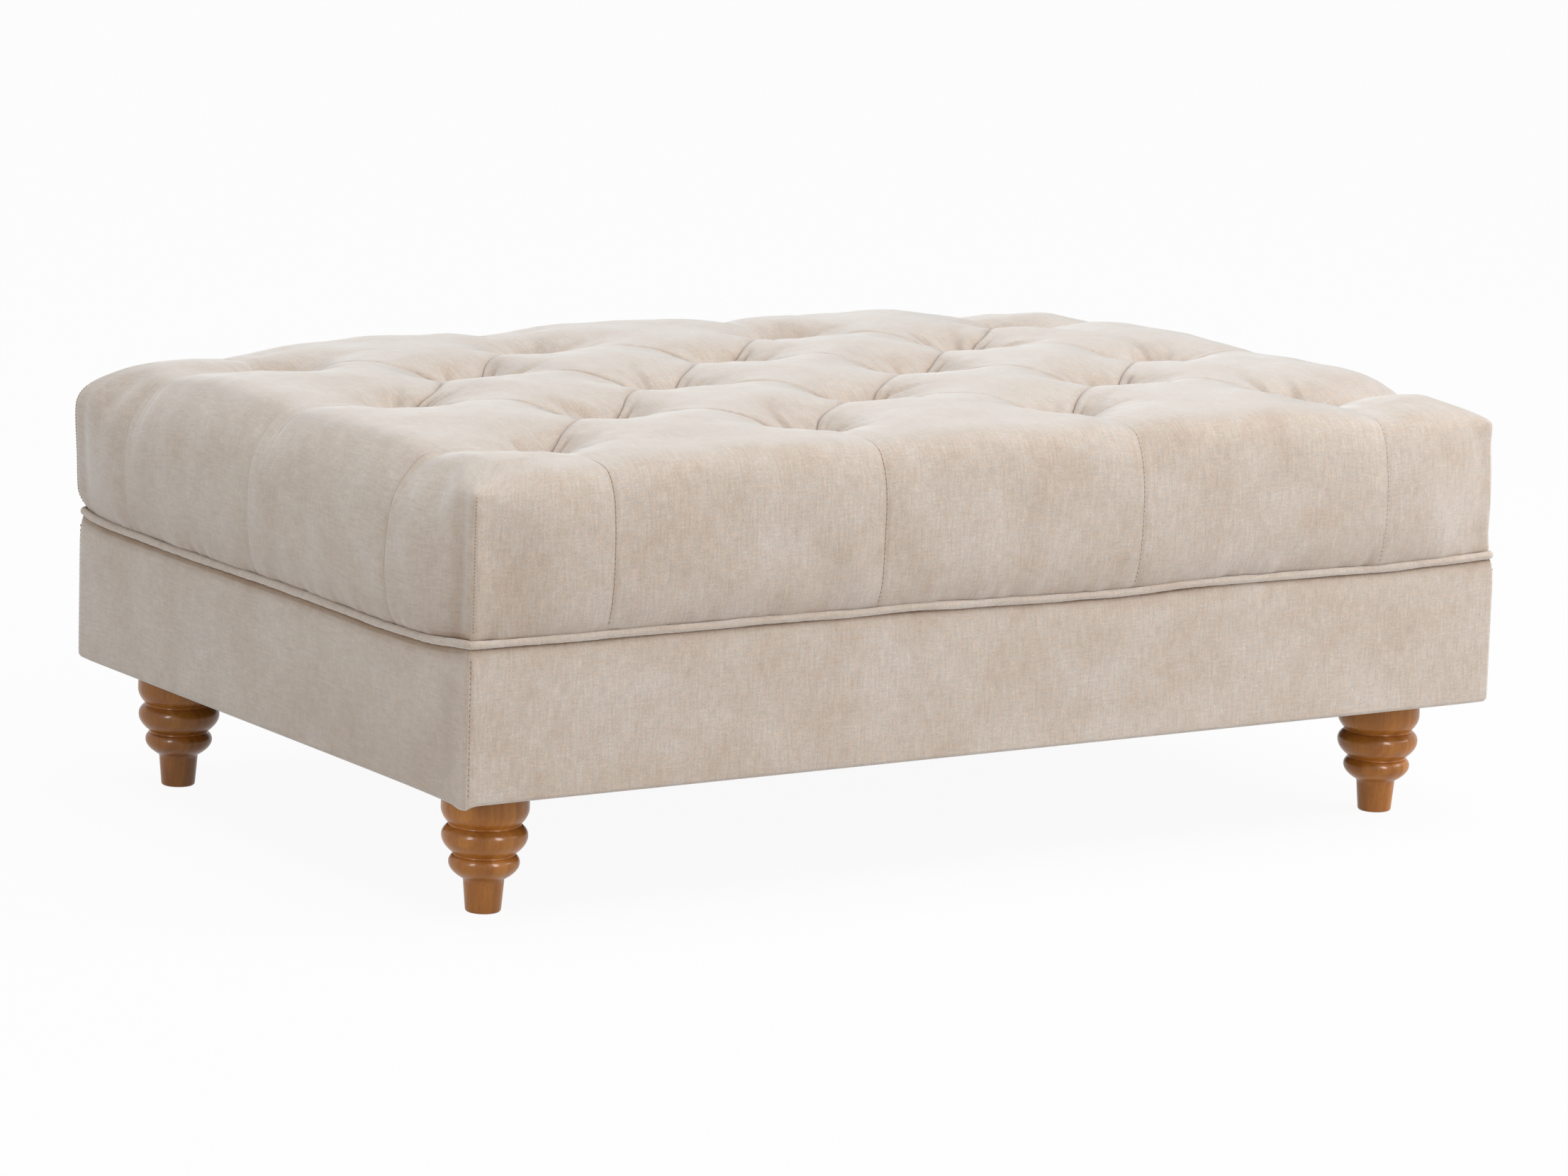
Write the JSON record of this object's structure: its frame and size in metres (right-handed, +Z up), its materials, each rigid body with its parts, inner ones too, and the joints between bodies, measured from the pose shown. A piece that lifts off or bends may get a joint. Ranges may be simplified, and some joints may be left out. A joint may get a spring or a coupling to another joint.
{
  "type": "upholstered bench",
  "caption": "Low rectangular upholstered bench with a diamond-tufted seat, piped seam, fabric-covered base and turned wooden feet, for sitting or resting feet.",
  "frame": {"origin": "on the floor under the middle of the bench", "axes": "+X along the long side, -Y towards the front, +Z up"},
  "size_m": [1.104, 0.724, 0.41],
  "materials": {
    "cloth": "matte beige chenille with a short pile",
    "piping": "matte beige chenille over a cord",
    "wood": "honey-brown beech, satin lacquer",
    "frame": "sawn softwood",
    "ply": "plywood",
    "foam": "open-cell foam",
    "wadding": "loose fibre",
    "dust": "black non-woven lining",
    "twine": "waxed twine",
    "steel": "zinc-plated steel"
  },
  "bodies": {
    "root": {"base_panel_back": "cloth", "base_panel_front": "cloth", "base_panel_left": "cloth", "base_panel_right": "cloth", "bolt_back_left": "steel", "bolt_back_right": "steel", "bolt_front_left": "steel", "bolt_front_right": "steel", "corner_block_back_left": "frame", "corner_block_back_right": "frame", "corner_block_front_left": "frame", "corner_block_front_right": "frame", "cross_rail_left": "frame", "cross_rail_right": "frame", "deck_board": "ply", "dust_cover": "dust", "fibre_wrap": "wadding", "foam_block": "foam", "foot_back_left": "wood", "foot_back_right": "wood", "foot_front_left": "wood", "foot_front_right": "wood", "piping_back": "piping", "piping_front": "piping", "piping_left": "piping", "piping_right": "piping", "rail_back": "frame", "rail_front": "frame", "rail_left": "frame", "rail_right": "frame", "seat_cover": "cloth", "tee_nut_back_left": "steel", "tee_nut_back_right": "steel", "tee_nut_front_left": "steel", "tee_nut_front_right": "steel", "tuft_button_1_1": "cloth", "tuft_button_1_2": "cloth", "tuft_button_1_3": "cloth", "tuft_button_1_4": "cloth", "tuft_button_2_1": "cloth", "tuft_button_2_2": "cloth", "tuft_button_2_3": "cloth", "tuft_button_3_1": "cloth", "tuft_button_3_2": "cloth", "tuft_button_3_3": "cloth", "tuft_button_3_4": "cloth", "tuft_button_4_1": "cloth", "tuft_button_4_2": "cloth", "tuft_button_4_3": "cloth", "tuft_button_5_1": "cloth", "tuft_button_5_2": "cloth", "tuft_button_5_3": "cloth", "tuft_button_5_4": "cloth", "tuft_twine_1": "twine", "tuft_twine_2": "twine", "tuft_twine_3": "twine", "tuft_twine_4": "twine", "tuft_twine_5": "twine", "wadding_band": "wadding"}
  },
  "joints": []
}
